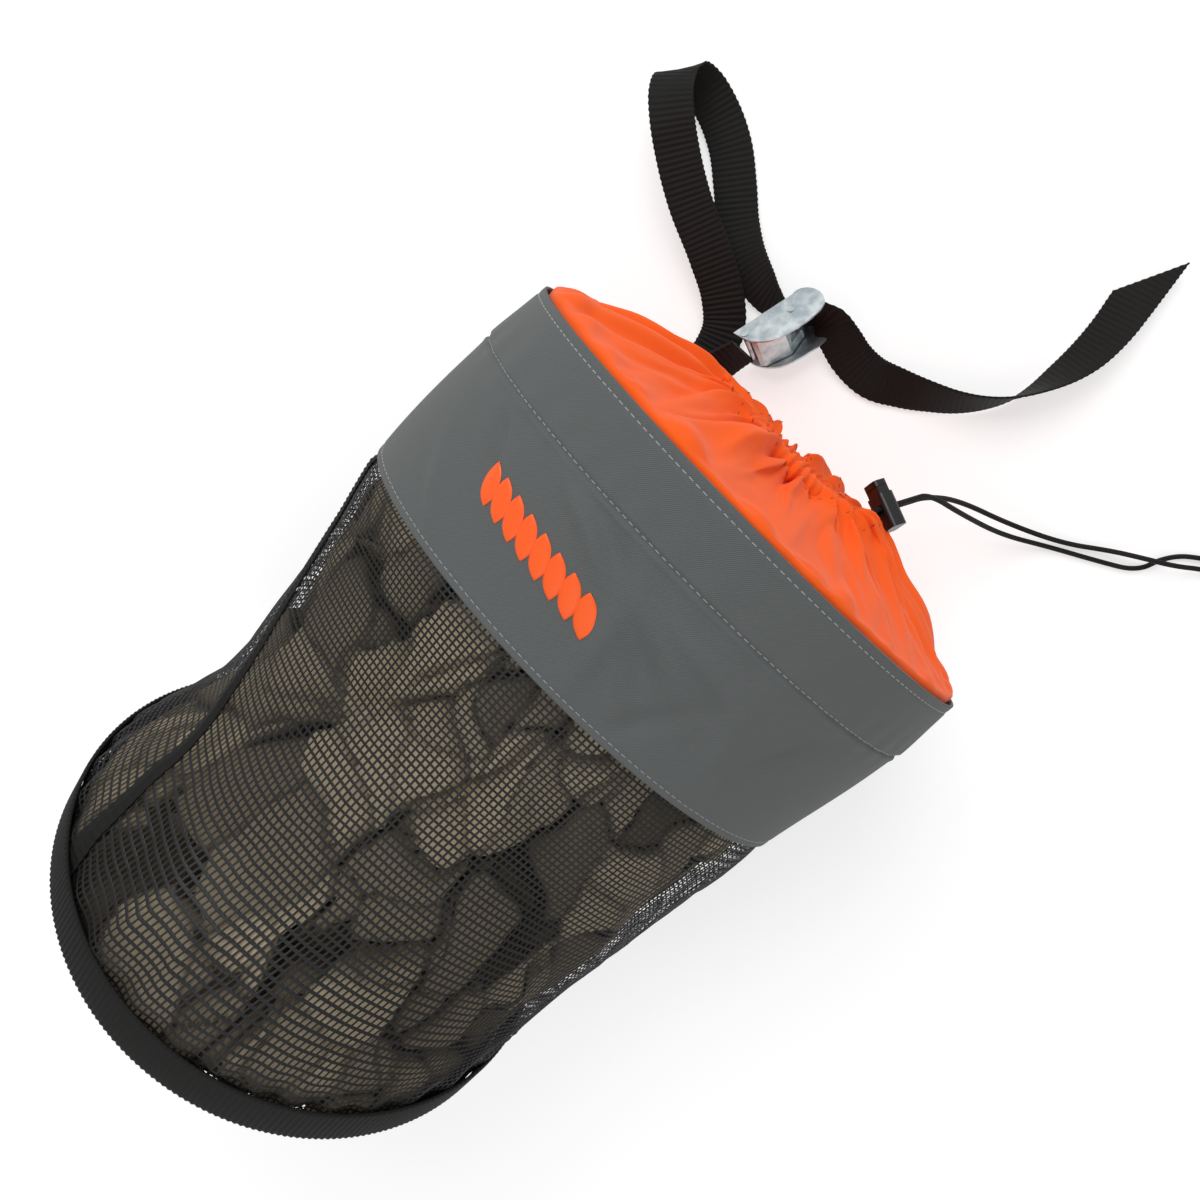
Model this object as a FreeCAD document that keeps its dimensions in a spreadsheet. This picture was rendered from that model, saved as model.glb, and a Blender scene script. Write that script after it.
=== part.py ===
import FreeCAD
import Part
import Sketcher
import math
import os

from FreeCAD import Matrix, Placement, Rotation, Vector

# A drawstring rope bag lying on its side. Row frame: +X out of the mouth, +Z up, floor at z = 0,
# origin at the middle of the footprint. Places inside the bag are counted from the mouth's rim.

DIMENSIONS = {
    # the bag
    "mouth_x": 64.97,
    "axis_y": -30.85,
    "floor_sink": 2.0,
    "bag_length": 335.0,
    "rim_half_width": 145.8,
    "rim_half_height": 122.0,
    "rim_shift_y": 1.2,
    "fold_depth": 36.0,
    "fold_half_width": 150.0,
    "fold_half_height": 117.0,
    "band_depth": 123.0,
    "band_half_width": 148.7,
    "band_half_height": 108.0,
    "band_shift_y": 8.7,
    "band_cloth": 1.5,
    "layer_gap": 0.5,
    "waist_depth": 205.0,
    "waist_half_width": 138.2,
    "waist_half_height": 109.0,
    "waist_shift_y": 6.0,
    "hip_depth": 262.0,
    "hip_half_width": 132.0,
    "hip_half_height": 120.0,
    "hip_shift_y": 5.0,
    "hip_sink": 3.5,
    "wall_cloth": 1.2,
    "base_half_width": 135.0,
    "base_shift_y": 12.8,
    "base_lean": -19.0,
    "base_yaw": 5.5,
    "base_height": 130.0,
    "webbing_width": 25.4,
    "webbing_thick": 1.6,
    "binding_width": 9.0,
    "binding_thick": 1.0,
    "seam_tape_width": 12.0,
    # the drawstring closure
    "collar_cloth": 1.2,
    "collar_start": -5.0,
    "collar_half_width": 142.0,
    "collar_half_height": 118.0,
    "shoulder_x": 19.0,
    "shoulder_half_width": 104.0,
    "shoulder_half_height": 86.0,
    "shoulder_height": 106.0,
    "gather_x": 27.0,
    "gather_half_width": 56.0,
    "gather_half_height": 52.0,
    "mouth_height": 95.0,
    "casing_x": 23.0,
    "casing_ring": 44.0,
    "casing_tube": 6.0,
    "casing_bore": 2.4,
    "cord_radius": 1.5,
    "strand_offset": 1.8,
    # the cord lock
    "lock_along_cord": 27.0,
    "lock_slide": 12.0,
    "lock_width": 14.0,
    "lock_depth": 9.6,
    "lock_top": 7.5,
    "lock_bottom": 12.0,
    "lock_wall": 1.2,
    "lock_floor": 2.0,
    "plunger_gap": 0.3,
    "plunger_low": 4.5,
    "plunger_travel": 4.0,
    "head_low": 12.0,
    "head_high": 15.0,
    "cord_window": 8.0,
    "spring_wire": 0.42,
    "spring_coil": 2.2,
    # the cam buckle
    "pin_x": 78.8,
    "pin_y": 51.8,
    "pin_z": 19.1,
    "ear_spacing": 26.6,
    "ear_plate": 1.5,
    "pin_radius": 1.6,
    "pin_clearance": 0.05,
    "cam_radius": 3.1,
    "lever_width": 24.6,
    "bar_radius": 2.0,
    "bar_back": -29.0,
    "bar_side": -3.0,
    "throat_side": 7.2,
    "throat_start": 3.0,
    "throat_end": 14.0,
}

doc = FreeCAD.newDocument("rope_bag")
sizes = doc.addObject("Spreadsheet::Sheet", "Sizes")
for row, (alias, value) in enumerate(DIMENSIONS.items(), start=1):
    sizes.set(f"A{row}", alias)
    sizes.set(f"B{row}", str(value))
    sizes.setAlias(f"B{row}", alias)
doc.recompute()


def size(alias):
    return float(sizes.get(alias))


def bind(thing, **cells):
    """Ties properties of a document object to the spreadsheet; __ in a name stands for a dot."""
    for name, formula in cells.items():
        words = formula.replace("(", " ").replace(")", " ").split()
        for word in sorted(set(words) & set(DIMENSIONS), key=len, reverse=True):
            formula = " ".join(
                f"Sizes.{word}" if part == word else part
                for part in formula.replace("(", "( ").replace(")", " )").split()
            )
        thing.setExpression(name.replace("__", "."), formula)


def from_rim(x, y, z):
    """A point counted from the middle of the rim, in the row frame."""
    return Vector(size("mouth_x") + x, size("axis_y") + y, z)


def direction(azimuth, elevation):
    az, el = math.radians(azimuth), math.radians(elevation)
    return Vector(math.cos(el) * math.cos(az), math.cos(el) * math.sin(az), math.sin(el))


def axes_placement(origin, across, side):
    """The placement whose local X, Y and Z are across, side and their cross product."""
    x, y = across, side
    z = x.cross(y)
    turn = Matrix(x.x, y.x, z.x, 0, x.y, y.y, z.y, 0, x.z, y.z, z.z, 0, 0, 0, 0, 1)
    return Placement(origin, Placement(turn).Rotation)


# ---------------------------------------------------------------- the bag's cloth shells

UPRIGHT = Rotation(Vector(1, 1, 1), 120)  # an ellipse's plane stands across the bag's axis


def leaning(lean):
    """The turn of a section that leans, and so also yaws, by its share of the base's."""
    yaw = size("base_yaw") * lean / size("base_lean")
    return Rotation(Vector(0, 0, 1), yaw) * Rotation(Vector(0, 1, 0), lean) * UPRIGHT


def station(name, depth, half_width, half_height, height, shift, lean=0.0):
    """One elliptical cross-section of the bag, at a depth behind the rim."""
    ring = doc.addObject("Part::Ellipse", name)
    ring.Placement = Placement(Vector(), leaning(lean))
    bind(
        ring,
        MajorRadius=half_width,
        MinorRadius=half_height,
        Placement__Base__x=f"mouth_x - {depth}",
        Placement__Base__y=f"axis_y + {shift}",
        Placement__Base__z=height,
    )
    return ring


def tube_loft(name, stations, inset):
    """A solid lofted through stations, each shrunk by inset, and cut flat where it lies."""
    rings = [
        station(f"{name}_ring{i}", depth, f"{a} - {inset}", f"{b} - {inset}", height, shift, lean)
        for i, (depth, a, b, height, shift, lean) in enumerate(stations)
    ]
    loft = doc.addObject("Part::Loft", f"{name}_loft")
    loft.Sections = rings
    loft.Solid = True
    loft.Ruled = True
    return loft


def above(name, shape, height):
    """What of shape stands above a height."""
    room = doc.addObject("Part::Box", f"{name}_room")
    bind(
        room,
        Length="bag_length * 3",
        Width="bag_length * 3",
        Height="bag_length * 2",
        Placement__Base__x="( 0 - bag_length ) * 2",
        Placement__Base__y="( 0 - bag_length ) * 1.5",
        Placement__Base__z=height,
    )
    kept = doc.addObject("Part::Common", f"{name}_kept")
    kept.Base = shape
    kept.Tool = room
    return kept


def cloth_tube(label, stations, inset, cloth):
    """A tube of cloth: an outer loft less an inner one, flat where the bag lies on the floor."""
    outer = above(f"{label}_outer", tube_loft(f"{label}_outer", stations, inset), inset)
    deeper = f"( {inset} + {cloth} )"
    inner = above(f"{label}_inner", tube_loft(f"{label}_inner", stations, deeper), deeper)
    shell = doc.addObject("Part::Cut", label)
    shell.Base = outer
    shell.Tool = inner
    shell.Label = label
    return shell


RIM = (
    "0", "rim_half_width", "rim_half_height", "rim_half_height - floor_sink", "rim_shift_y", 0.0,
)
FOLD = (
    "fold_depth", "fold_half_width", "fold_half_height", "fold_half_height - floor_sink",
    "band_shift_y / 3", 0.0,
)
BAND = (
    "band_depth", "band_half_width", "band_half_height", "band_half_height - floor_sink",
    "band_shift_y", 0.0,
)
WAIST = (
    "waist_depth", "waist_half_width", "waist_half_height", "waist_half_height - floor_sink",
    "waist_shift_y", 0.0,
)
HIP = (
    "hip_depth", "hip_half_width", "hip_half_height", "hip_half_height - hip_sink",
    "hip_shift_y", size("base_lean") / 2,
)
BASE_FRONT = (
    "( bag_length - webbing_width * cos( base_lean * 1deg ) * cos( base_yaw * 1deg ) )",
    "base_half_width", "base_half_width",
    "base_height - webbing_width * sin( base_lean * 1deg )",
    "base_shift_y + webbing_width * cos( base_lean * 1deg ) * sin( base_yaw * 1deg )",
    size("base_lean"),
)
BASE = (
    "bag_length", "base_half_width", "base_half_width", "base_height", "base_shift_y",
    size("base_lean"),
)


def top_band():
    return cloth_tube("top_band", [RIM, FOLD, BAND], "0", "band_cloth")


def mesh_side_wall():
    inside = "band_cloth - layer_gap"
    sewn = (
        "( band_depth + 0.2 )", f"( band_half_width - {inside} )",
        f"( band_half_height - {inside} )", "band_half_height - floor_sink - 1", *BAND[4:],
    )
    return cloth_tube("mesh_side_wall", [sewn, WAIST, HIP, BASE_FRONT, BASE], "0", "wall_cloth")


def base_placement():
    """The middle of the base, with local Z along the bag towards its mouth."""
    middle = from_rim(-size("bag_length"), size("base_shift_y"), size("base_height"))
    return Placement(middle, leaning(size("base_lean")))


def sketch_on(body, plane, name):
    sketch = body.newObject("Sketcher::SketchObject", name)
    origin = [part for part in body.Origin.OriginFeatures if part.Role == plane][0]
    sketch.AttachmentSupport = (origin, [""])
    sketch.MapMode = "FlatFace"
    return sketch


def circle(sketch, radius_cell):
    """A circle about the sketch's origin with its radius bound to a cell."""
    index = sketch.addGeometry(Part.Circle(Vector(), Vector(0, 0, 1), 1.0), False)
    sketch.addConstraint(Sketcher.Constraint("Coincident", index, 3, -1, 1))
    rule = sketch.addConstraint(Sketcher.Constraint("Radius", index, 10.0))
    bind(sketch, **{f"Constraints[{rule}]": radius_cell})


def body_at(label, placement):
    body = doc.addObject("PartDesign::Body", label)
    body.Label = label
    body.Placement = placement
    return body


def ring_body(label, outer_cell, inner_cell, low, length_cell):
    """A flat ring or a disc round the base's middle, from a distance low behind the base."""
    body = body_at(label, base_placement().multiply(Placement(Vector(0, 0, low), Rotation())))
    sketch = sketch_on(body, "XY_Plane", f"{label}_outline")
    circle(sketch, outer_cell)
    if inner_cell:
        circle(sketch, inner_cell)
    pad = body.newObject("PartDesign::Pad", f"{label}_pad")
    pad.Profile = sketch
    bind(pad, Length=length_cell)
    return body


def base_webbing_band():
    outer = "base_half_width + layer_gap + webbing_thick"
    return ring_body("base_webbing_band", outer, "base_half_width + layer_gap", 0.0, "webbing_width")


def mesh_base_panel():
    low = -size("wall_cloth") - 0.1
    return ring_body("mesh_base_panel", "base_half_width", None, low, "wall_cloth")


def base_binding_tape():
    low = -size("wall_cloth") - size("binding_thick") - 0.2
    inner = "base_half_width - binding_width"
    return ring_body("base_binding_tape", "base_half_width", inner, low, "binding_thick")


# ---------------------------------------------------------------- webbing

def ribbon(stations, width, thickness):
    """Flat webbing through stations of x, y, z from the rim, and its width's azimuth and elevation."""
    points = [from_rim(*s[:3]) for s in stations]
    outlines = []
    for i, (point, s) in enumerate(zip(points, stations)):
        along = points[min(i + 1, len(points) - 1)] - points[max(i - 1, 0)]
        along.normalize()
        across = direction(s[3], s[4])
        across = across - along * across.dot(along)
        across.normalize()
        normal = along.cross(across)
        half_w, half_t = across * (width / 2), normal * (thickness / 2)
        corners = [
            point + half_w + half_t, point - half_w + half_t,
            point - half_w - half_t, point + half_w - half_t,
        ]
        outlines.append(Part.makePolygon(corners + corners[:1]))
    return Part.makeLoft(outlines, True, True)


def length_of(stations):
    points = [Vector(*s[:3]) for s in stations]
    return sum((b - a).Length for a, b in zip(points, points[1:]))


def shaped(label, shape):
    """A document object that holds a shape made in code."""
    thing = doc.addObject("Part::Feature", label)
    thing.Label = label
    thing.Shape = shape
    return thing


# The strap from its sewn end under the rim, round its loop and through the buckle, to its cut end.
STRAP = [
    (-22, 73, 6.7, -90, -23),
    (4, 73, 6.0, -88, -20),
    (28, 74, 5.2, -80, -7),
    (48, 81, 6.0, -60, -3),
    (60, 94, 10, -42, 0),
    (71, 115, 17, -30, 0),
    (84, 145, 25, -28, 0),
    (97, 167, 32, -30, 0),
    (108, 182, 37, -32, 0),
    (118, 193, 36, -34, 0),
    (127, 199, 28, -36, -4),
    (132, 197, 17, -36, -4),
    (134, 187, 8, -34, 0),
    (131, 172, 3.0, -32, 0),
    (123, 154, 1.6, -33, 0),
    (109, 135, 1.6, -36, 0),
    (95, 118, 2.0, -36, 4),
    (85, 101, 5.0, -24, 14),
    (80, 85, 8.6, -8, 30),
    (78, 71, 12.2, 16, 48),
    (79, 60.4, 15.2, 50, 57),
    (84.2, 53.4, 17.3, 67, 58),
    (90.4, 48.2, 18.2, 60, 57),
    (92.6, 40, 17.6, 30, 46),
    (90.6, 28, 13.0, 8, 30),
    (88, 14, 7.4, 0, 18),
    (89, -2, 4.8, 14, 14),
    (95, -16, 7.4, 30, 30),
    (103, -31, 10.6, 34, 47),
    (112, -45, 12.2, 42, 60),
    (122, -56, 13.2, 50, 72),
    (134, -65, 13.7, 60, 84),
    (148, -71, 13.5, 70, 100),
    (164, -75, 12.0, 80, 120),
    (181, -77, 10.2, 88, 136),
    (200, -76, 7.8, 94, 147),
    (219, -72.5, 5.8, 102, 158),
]
# The short doubled webbing that holds the buckle, from its sewn end to the buckle's bar.
TAB = [
    (-22, 72, 10.1, -90, -23),
    (2, 71, 10.8, -91, -26),
    (20, 68.5, 14.2, -95, -38),
    (36, 65, 17.8, -106, -52),
    (46.3, 62.3, 20.1, -113, -58),
]
POINTED_END = 32.0  # how far one edge of the cut end runs past the other


def webbing_strap():
    thick = size("webbing_thick")
    width = size("webbing_width")
    strap = ribbon(STRAP, width, thick)
    tip = from_rim(*STRAP[-1][:3])
    before = from_rim(*STRAP[-2][:3])
    along = (tip - before).normalize()
    across = direction(*STRAP[-1][3:])
    across = (across - along * across.dot(along)).normalize()
    up = along.cross(across) * (thick / 2)
    corners = [tip - across * (width / 2), tip + across * (width / 2)]
    corners.append(corners[1] + along * POINTED_END)
    low = Part.makePolygon([c - up for c in corners + corners[:1]])
    point = Part.Face(low).extrude(up * 2)
    print("webbing strap length", round(length_of(STRAP) + POINTED_END / 2, 1), "mm")
    return shaped("webbing_strap", strap.fuse(point).removeSplitter())


def buckle_tab():
    doubled = size("webbing_thick") * 2
    flat = ribbon(TAB, size("webbing_width"), doubled)
    across = buckle_frame_axes()[2] * (size("webbing_width") / 2)
    middle = bar_middle()
    eye = Part.makeCylinder(
        size("bar_radius") + doubled / 2 + 0.4, across.Length * 2, middle - across, across
    )
    hole = Part.makeCylinder(
        size("bar_radius") + 0.3, across.Length * 4, middle - across * 2, across
    )
    return shaped("buckle_tab", flat.fuse(eye).cut(hole))


def wall_point(depth, angle, out):
    """A place on the wall's outer face, or out from it, counted from the rim."""
    half_base, setback = size("base_half_width"), size("webbing_width")
    lean, yaw = math.radians(size("base_lean")), math.radians(size("base_yaw"))
    known = [
        (size(f"{n}_depth"), size(f"{n}_half_width"), size(f"{n}_half_height"),
         size(f"{n}_half_height") - size(sink), size(f"{n}_shift_y"), share)
        for n, sink, share in (
            ("band", "floor_sink", 0.0), ("waist", "floor_sink", 0.0), ("hip", "hip_sink", 0.5)
        )
    ]
    known.append((
        size("bag_length") - setback * math.cos(lean) * math.cos(yaw), half_base, half_base,
        size("base_height") - setback * math.sin(lean),
        size("base_shift_y") + setback * math.cos(lean) * math.sin(yaw), 1.0,
    ))
    places = []
    for far, a, b, height, shift, share in known:
        tilt, turn = lean * share, yaw * share
        level = Vector(-math.sin(turn), math.cos(turn), 0)
        rise = Vector(math.cos(turn), math.sin(turn), 0) * math.sin(tilt)
        rise.z = math.cos(tilt)
        middle = Vector(-far, shift, height)
        places.append(
            middle + level * ((a + out) * math.cos(angle)) + rise * ((b + out) * math.sin(angle))
        )
    depths = [station[0] for station in known]
    low = max(i for i in range(len(depths) - 1) if depths[i] <= depth)
    share = (depth - depths[low]) / (depths[low + 1] - depths[low])
    return places[low] + (places[low + 1] - places[low]) * share


def side_seam_tape():
    """The taped seam that climbs the bag's left side from the base to the band."""
    thick = size("binding_thick")
    out = thick / 2 + 1.4
    stations = []
    for depth, angle in (
        (128, 14), (165, 18), (205, 24), (222, 27), (240, 30), (252, 32.5), (262, 35), (275, 38),
        (288, 41), (300, 43.5), (309, 45),
    ):
        turn = math.radians(angle)
        place = wall_point(depth, turn, out)
        across = wall_point(depth, turn + 0.01, out) - wall_point(depth, turn - 0.01, out)
        slope = math.degrees(math.atan2(across.z, across.y))
        stations.append((*place, 90, slope))
    return shaped("side_seam_tape", ribbon(stations, size("seam_tape_width"), thick))


def bar_tack_stitches():
    """Two rows of thread through the strap's sewn end, the tab and the band."""
    slope = Rotation(Vector(1, 0, 0), 23)
    rows = []
    for x in (-19.0, -7.0):
        block = Part.makeBox(3.0, size("webbing_width") - 6, 6.4)
        block.Placement = Placement(from_rim(x, 63.4, 2.6), slope)
        rows.append(block)
    return shaped("bar_tack_stitches", Part.makeCompound(rows))


# ---------------------------------------------------------------- the drawstring closure

def drawstring_collar():
    start = (
        "( 0 - collar_start )", "collar_half_width", "collar_half_height",
        "rim_half_height - floor_sink", "0", 0.0,
    )
    shoulder = (
        "( 0 - shoulder_x )", "shoulder_half_width", "shoulder_half_height", "shoulder_height",
        "0", 0.0,
    )
    gather = (
        "( 0 - gather_x )", "gather_half_width", "gather_half_height", "mouth_height", "0", 0.0,
    )
    outer = tube_loft("collar_outer", [start, shoulder, gather], "0")
    inner = tube_loft("collar_inner", [start, shoulder, gather], "( collar_cloth * 3 )")
    collar = doc.addObject("Part::Cut", "drawstring_collar")
    collar.Base = outer
    collar.Tool = inner
    collar.Label = "drawstring_collar"
    return collar


def torus(name, ring_cell, tube_cell):
    ring = doc.addObject("Part::Torus", name)
    ring.Placement = Placement(Vector(), Rotation(Vector(0, 1, 0), 90))
    bind(
        ring,
        Radius1=ring_cell,
        Radius2=tube_cell,
        Placement__Base__x="mouth_x + casing_x",
        Placement__Base__y="axis_y",
        Placement__Base__z="mouth_height",
    )
    return ring


def collar_casing():
    outer = torus("casing_outer", "casing_ring", "casing_tube")
    inner = torus("casing_inner", "casing_ring", "casing_bore")
    casing = doc.addObject("Part::Cut", "collar_casing")
    casing.Base = outer
    casing.Tool = inner
    casing.Label = "collar_casing"
    return casing


def drawstring_loop():
    loop = torus("drawstring_loop", "casing_ring", "cord_radius")
    loop.Label = "drawstring_loop"
    return loop


CORD_DIRECTION = Vector(0.72, -0.42, -0.55).normalize()
LOCK_AXIS = Vector(0.34, 0.94, -0.273)
LOCK_AXIS = (LOCK_AXIS - CORD_DIRECTION * LOCK_AXIS.dot(CORD_DIRECTION)).normalize()
LOCK_SIDE = LOCK_AXIS.cross(CORD_DIRECTION)


def cord_exit():
    """Where the drawstring leaves the casing, on its right side, counted from the rim."""
    return Vector(size("casing_x"), -size("casing_ring"), size("mouth_height"))


def along_cord(distance, side):
    return cord_exit() + CORD_DIRECTION * distance + LOCK_SIDE * side


def tail_routes():
    """The two tails' points from the rim: through the lock, down to the floor and to the knot."""
    offset = size("strand_offset")
    straight = size("lock_along_cord") + size("lock_slide") + size("lock_depth") / 2
    upper = [
        along_cord(0, offset),
        along_cord(20, offset),
        along_cord(straight, offset),
        along_cord(56, offset),
        Vector(74, -84, 38),
        Vector(86, -118, 12),
        Vector(101, -150, 1.7),
        Vector(117, -171, 2.6),
        Vector(127, -186, 8.6),
        Vector(136, -201, 8.6),
        Vector(147, -215, 2.6),
        Vector(156, -229, 3.6),
    ]
    lower = [
        along_cord(0, -offset),
        along_cord(20, -offset),
        along_cord(straight, -offset),
        along_cord(56, -offset),
        Vector(70, -91, 44),
        Vector(79, -120, 14),
        Vector(94, -146, 1.7),
        Vector(108, -171, 1.7),
        Vector(120, -191, 1.7),
        Vector(136, -195, 1.7),
        Vector(149, -206, 1.7),
        Vector(158, -222, 3.4),
    ]
    return {"drawstring_tail_upper": upper, "drawstring_tail_lower": lower}


def rounded_path(points):
    """Straight runs joined by tangent arcs, each as large as its two runs allow."""
    edges = []
    last = points[0]
    radii = []
    for before, corner, after in zip(points, points[1:], points[2:]):
        inward = (before - corner)
        outward = (after - corner)
        reach = 0.45 * min(inward.Length, outward.Length)
        inward.normalize()
        outward.normalize()
        half_turn = (math.pi - inward.getAngle(outward)) / 2
        if half_turn < 0.001:
            continue
        radii.append(reach / math.tan(half_turn))
        start = corner + inward * reach
        end = corner + outward * reach
        bulge = (inward + outward).normalize()
        dip = radii[-1] / math.cos(half_turn) - radii[-1]
        edges.append(Part.LineSegment(last, start).toShape())
        edges.append(Part.Arc(start, corner + bulge * dip, end).toShape())
        last = end
    edges.append(Part.LineSegment(last, points[-1]).toShape())
    return Part.Wire(edges), radii


def cord_tube(label, route):
    points = [from_rim(p.x, p.y, p.z) for p in route]
    path, radii = rounded_path(points)
    radius = size("cord_radius")
    section = Part.Wire(
        Part.Circle(points[0], points[1] - points[0], radius).toShape()
    )
    tube = path.makePipeShell([section], True, False)
    ideal = math.pi * radius**2 * path.Length
    print(
        label, "length", round(path.Length, 1), "radii", [round(r) for r in radii],
        "volume share", round(tube.Volume / ideal, 4),
    )
    return shaped(label, tube)


def tail_end_knot():
    """The knot that ties the two tails together."""
    knot = doc.addObject("Part::Ellipsoid", "tail_end_knot")
    knot.Label = "tail_end_knot"
    knot.Radius1 = 5.4
    knot.Radius2 = 8.5
    knot.Radius3 = 6.5
    knot.Placement = Placement(from_rim(160, -230, 5.6), Rotation(Vector(0, 0, 1), -55))
    return knot


# ---------------------------------------------------------------- the cord lock

def lock_placement():
    """The lock's own frame: X across the two strands, Y along the cord, Z to the button."""
    centre = along_cord(size("lock_along_cord"), 0)
    return axes_placement(from_rim(centre.x, centre.y, centre.z), -LOCK_SIDE, CORD_DIRECTION)


def block(name, x_cell, y_cell, low, high):
    """A box centred in X and Y, between two heights, as a primitive in the lock's frame."""
    box = doc.addObject("Part::Box", name)
    bind(
        box,
        Length=x_cell,
        Width=y_cell,
        Height=f"( {high} ) - ( {low} )",
        Placement__Base__x=f"( 0 - ( {x_cell} ) ) / 2",
        Placement__Base__y=f"( 0 - ( {y_cell} ) ) / 2",
        Placement__Base__z=low,
    )
    return box


def rounded(name, box, radius):
    """The box with its four upright edges rounded."""
    doc.recompute()
    fillet = doc.addObject("Part::Fillet", name)
    fillet.Base = box
    upright = [
        i + 1 for i, edge in enumerate(box.Shape.Edges)
        if abs(edge.Vertexes[0].Z - edge.Vertexes[1].Z) > 1e-6
    ]
    fillet.Edges = [(i, radius, radius) for i in upright]
    return fillet


def boolean(kind, label, base, tool):
    result = doc.addObject(kind, label)
    result.Label = label
    result.Base = base
    result.Tool = tool
    return result


def cord_lock_body():
    case = rounded(
        "lock_case", block("lock_block", "lock_width", "lock_depth", "0 - lock_bottom", "lock_top"),
        2.6,
    )
    cavity = block(
        "lock_cavity", "lock_width - 2 * lock_wall", "lock_depth - 2 * lock_wall",
        "lock_floor - lock_bottom", "lock_top + 1",
    )
    window = block("lock_window", "cord_window", "lock_depth * 2", "0 - cord_radius * 2", "1.8")
    hollow = boolean("Part::Cut", "lock_hollow", case, cavity)
    body = boolean("Part::Cut", "cord_lock_body", hollow, window)
    body.Placement = lock_placement()
    return body


def cord_lock_plunger():
    stem = block(
        "plunger_stem", "lock_width - 2 * ( lock_wall + plunger_gap )",
        "lock_depth - 2 * ( lock_wall + plunger_gap )", "0 - plunger_low", "head_low + 0.5",
    )
    head = rounded(
        "plunger_head", block("plunger_cap", "lock_width - 2", "lock_depth - 1.4", "head_low",
                              "head_high"), 2.2,
    )
    slot = block(
        "plunger_slot", "cord_window - 0.6", "lock_depth * 2", "0 - cord_radius - 0.2",
        "plunger_travel + cord_radius + 0.3",
    )
    solid = boolean("Part::Fuse", "plunger_solid", stem, head)
    plunger = boolean("Part::Cut", "cord_lock_plunger", solid, slot)
    plunger.Placement = lock_placement()
    return plunger


def cord_lock_spring():
    """A small coil under the plunger."""
    low = size("lock_floor") - size("lock_bottom") + size("spring_wire") + 0.1
    high = -size("plunger_low") - size("spring_wire") - 0.1
    turns = 3
    helix = Part.makeHelix((high - low) / turns, high - low, size("spring_coil"))
    section = Part.Wire(
        Part.Circle(
            Vector(size("spring_coil"), 0, 0), Vector(0, 1, 0), size("spring_wire")
        ).toShape()
    )
    coil = Part.Wire(helix).makePipeShell([section], True, True)
    spring = shaped("cord_lock_spring", coil)
    lift = Placement(Vector(0, 0, low), Rotation())
    spring.Placement = lock_placement().multiply(lift)
    return spring


# ---------------------------------------------------------------- the cam buckle

BUCKLE_LEAN = 32.0  # how far the cam's pin leans from upright
EAR_OUTLINE = (
    (-35, 0), (3.5, 9), (9, 10.6), (14, 8.6), (18.4, 3), (18.6, -4), (11, -10), (-4, -14),
    (-14, -15), (-24, -12), (-31, -6),
)
LEVER_OUTLINE = (
    (1.2, -1.0), (-1.2, -1.0), (-9, -8.2), (-24, -9.6), (-26.5, -8.4), (-27.2, -9.6),
    (-24.5, -11.4), (-8, -10.2), (1.0, -2.8),
)


def buckle_frame_axes():
    """Unit vectors along the buckle, across it to its throat, and along the cam's pin."""
    along = direction(-23, 0)
    lean = math.radians(BUCKLE_LEAN)
    side = Vector(-along.y, along.x, 0)
    pin = side * math.sin(lean) + Vector(0, 0, math.cos(lean))
    return along, pin.cross(along), pin


def buckle_placement():
    along, throat, _ = buckle_frame_axes()
    return axes_placement(from_rim(size("pin_x"), size("pin_y"), size("pin_z")), along, throat)


def bar_middle():
    along, throat, _ = buckle_frame_axes()
    return buckle_placement().Base + along * size("bar_back") + throat * size("bar_side")


def outline_face(points, height):
    corners = [Vector(x, y, height) for x, y in points]
    return Part.Face(Part.makePolygon(corners + corners[:1]))


def smooth_outline(points, height):
    """A closed curve with a sharp tip at its first point."""
    curve = Part.BSplineCurve()
    curve.interpolate([Vector(x, y, height) for x, y in points[1:]])
    tip = Vector(*points[0], height)
    sides = [
        Part.LineSegment(tip, curve.StartPoint).toShape(),
        curve.toShape(),
        Part.LineSegment(curve.EndPoint, tip).toShape(),
    ]
    return Part.Face(Part.Wire(sides))


def buckle_frame():
    """Two ears and the throat plate under the cam, bent from one strip of steel."""
    inner = size("ear_spacing") / 2
    plate = size("ear_plate")
    ears = [
        smooth_outline(EAR_OUTLINE, z).extrude(Vector(0, 0, plate)) for z in (inner, -inner - plate)
    ]
    throat = Part.makeBox(
        size("throat_end") - size("throat_start"), plate, 2 * inner + 0.2,
        Vector(size("throat_start"), size("throat_side"), -inner - 0.1),
    )
    solid = ears[0].fuse([ears[1], throat])
    bore = Part.makeCylinder(size("pin_radius"), 80, Vector(0, 0, -40))
    slot = Part.makeCylinder(
        size("bar_radius"), 80, Vector(size("bar_back"), size("bar_side"), -40)
    )
    frame = shaped("buckle_frame", solid.cut(bore).cut(slot).removeSplitter())
    frame.Placement = buckle_placement()
    return frame


def headed_pin(label, radius, head, x, y):
    """A riveted pin along the buckle's Z with a low head outside each ear."""
    reach = size("ear_spacing") / 2 + size("ear_plate")
    shank = Part.makeCylinder(radius, 2 * reach, Vector(x, y, -reach))
    heads = [
        Part.makeCylinder(head, 0.7, Vector(x, y, z)) for z in (reach, -reach - 0.7)
    ]
    pin = shaped(label, shank.fuse(heads).removeSplitter())
    pin.Placement = buckle_placement()
    return pin


def cam_lever():
    """The cam on its pin, with the bent thumb plate that opens it."""
    width = size("lever_width")
    barrel = Part.makeCylinder(size("cam_radius"), width, Vector(0, 0, -width / 2))
    plate = outline_face(LEVER_OUTLINE, -width / 2).extrude(Vector(0, 0, width))
    bore = Part.makeCylinder(size("pin_radius") + size("pin_clearance"), 80, Vector(0, 0, -40))
    window = Part.makeBox(9, 16, 9, Vector(-6, -11, -4.5))
    body = barrel.fuse(plate).cut(window).cut(bore).removeSplitter()
    lever = shaped("cam_lever", body)
    lever.Placement = buckle_placement()
    return lever


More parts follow.
